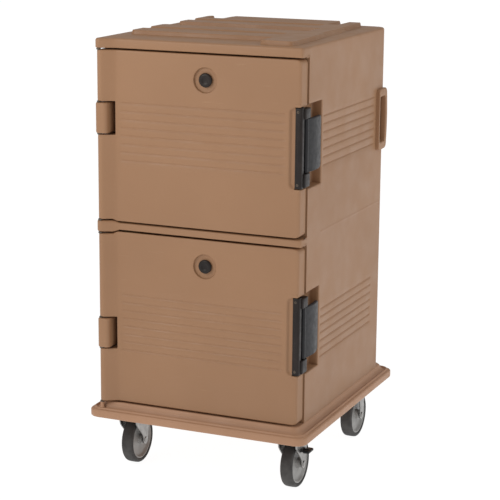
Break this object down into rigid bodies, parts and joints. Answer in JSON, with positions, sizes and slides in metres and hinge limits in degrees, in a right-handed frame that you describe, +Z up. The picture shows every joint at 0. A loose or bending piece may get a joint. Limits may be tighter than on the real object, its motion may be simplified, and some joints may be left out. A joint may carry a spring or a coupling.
{
  "type": "insulated food carrier",
  "caption": "Tall insulated cabinet for hot food pans, with two hinged and latched front doors, moulded side handles and a bumper base on casters.",
  "frame": {"origin": "on the floor under the middle of the base bumper", "axes": "+Z up; +X across the front, away from the door hinges; the doors face -Y"},
  "size_m": [0.724, 0.821, 1.375],
  "materials": {
    "shell": "moulded polyethylene, coffee beige, satin",
    "liner": "moulded polyethylene, smooth",
    "foam": "rigid polyurethane foam",
    "seal": "soft black-brown rubber",
    "vent": "dark brown nylon",
    "latch": "black glass-filled nylon, satin",
    "steel": "zinc-plated and stainless steel",
    "tread": "dark grey non-marking rubber",
    "core": "grey polypropylene wheel core"
  },
  "bodies": {
    "cart": {"base_bumper": "shell", "base_foam": "foam", "cabinet_shell": "shell", "cabinet_foam": "foam", "upper_liner": "liner", "upper_hinge_block": "shell", "upper_hinge_rod": "steel", "upper_latch_keeper": "steel", "lower_liner": "liner", "lower_hinge_block": "shell", "lower_hinge_rod": "steel", "lower_latch_keeper": "steel", "front_left_caster_plate": "steel", "front_right_caster_plate": "steel", "rear_left_caster_plate": "steel", "rear_left_fork": "steel", "rear_left_axle": "steel", "rear_right_caster_plate": "steel", "rear_right_fork": "steel", "rear_right_axle": "steel"},
    "upper_door": {"upper_door_shell": "shell", "upper_door_inner": "liner", "upper_door_foam": "foam", "upper_door_gasket": "seal", "upper_vent_seal": "seal", "upper_latch_body": "latch", "upper_latch_pin": "steel", "upper_latch_screw_1": "steel", "upper_latch_screw_2": "steel"},
    "upper_latch": {"upper_latch_lever": "latch"},
    "upper_vent": {"upper_vent_cap": "vent"},
    "lower_door": {"lower_door_shell": "shell", "lower_door_inner": "liner", "lower_door_foam": "foam", "lower_door_gasket": "seal", "lower_vent_seal": "seal", "lower_latch_body": "latch", "lower_latch_pin": "steel", "lower_latch_screw_1": "steel", "lower_latch_screw_2": "steel"},
    "lower_latch": {"lower_latch_lever": "latch"},
    "lower_vent": {"lower_vent_cap": "vent"},
    "front_left_swivel": {"front_left_fork": "steel", "front_left_axle": "steel", "front_left_swivel_race": "steel"},
    "front_left_wheel": {"front_left_wheel_core": "core", "front_left_wheel_tread": "tread"},
    "front_right_swivel": {"front_right_fork": "steel", "front_right_axle": "steel", "front_right_swivel_race": "steel"},
    "front_right_wheel": {"front_right_wheel_core": "core", "front_right_wheel_tread": "tread"},
    "rear_left_wheel": {"rear_left_wheel_core": "core", "rear_left_wheel_tread": "tread"},
    "rear_right_wheel": {"rear_right_wheel_core": "core", "rear_right_wheel_tread": "tread"},
    "brake": {"front_right_brake_pedal": "latch"}
  },
  "joints": [
    {"name": "upper_door_hinge", "type": "hinge", "parent": "cart", "child": "upper_door", "pos_m": [-0.318, -0.393, 1.068], "axis": [0, 0, -1], "range_deg": [0, 268]},
    {"name": "upper_latch_turn", "type": "hinge", "parent": "upper_door", "child": "upper_latch", "pos_m": [0.326, -0.338, 1.072], "axis": [0, 0, -1], "range_deg": [0, 100]},
    {"name": "upper_vent_pull", "type": "slide", "parent": "upper_door", "child": "upper_vent", "axis": [0, -1, 0], "range_m": [0, 0.008]},
    {"name": "lower_door_hinge", "type": "hinge", "parent": "cart", "child": "lower_door", "pos_m": [-0.318, -0.393, 0.507], "axis": [0, 0, -1], "range_deg": [0, 268]},
    {"name": "lower_latch_turn", "type": "hinge", "parent": "lower_door", "child": "lower_latch", "pos_m": [0.326, -0.338, 0.511], "axis": [0, 0, -1], "range_deg": [0, 100]},
    {"name": "lower_vent_pull", "type": "slide", "parent": "lower_door", "child": "lower_vent", "axis": [0, -1, 0], "range_m": [0, 0.008]},
    {"name": "front_left_swivel_turn", "type": "hinge", "parent": "cart", "child": "front_left_swivel", "pos_m": [-0.271, -0.287, 0.16], "axis": [0, 0, 1], "continuous": true},
    {"name": "front_left_wheel_spin", "type": "hinge", "parent": "front_left_swivel", "child": "front_left_wheel", "pos_m": [-0.271, -0.249, 0.0762], "axis": [1, 0, 0], "continuous": true},
    {"name": "front_right_swivel_turn", "type": "hinge", "parent": "cart", "child": "front_right_swivel", "pos_m": [0.271, -0.287, 0.16], "axis": [0, 0, 1], "continuous": true},
    {"name": "front_right_wheel_spin", "type": "hinge", "parent": "front_right_swivel", "child": "front_right_wheel", "pos_m": [0.271, -0.249, 0.0762], "axis": [1, 0, 0], "continuous": true},
    {"name": "rear_left_wheel_spin", "type": "hinge", "parent": "cart", "child": "rear_left_wheel", "pos_m": [-0.271, 0.276, 0.0762], "axis": [1, 0, 0], "continuous": true},
    {"name": "rear_right_wheel_spin", "type": "hinge", "parent": "cart", "child": "rear_right_wheel", "pos_m": [0.271, 0.276, 0.0762], "axis": [1, 0, 0], "continuous": true},
    {"name": "brake_pedal_press", "type": "hinge", "parent": "front_right_swivel", "child": "brake", "pos_m": [0.31, -0.253, 0.12], "axis": [-1, 0, 0], "range_deg": [0, 15]}
  ]
}
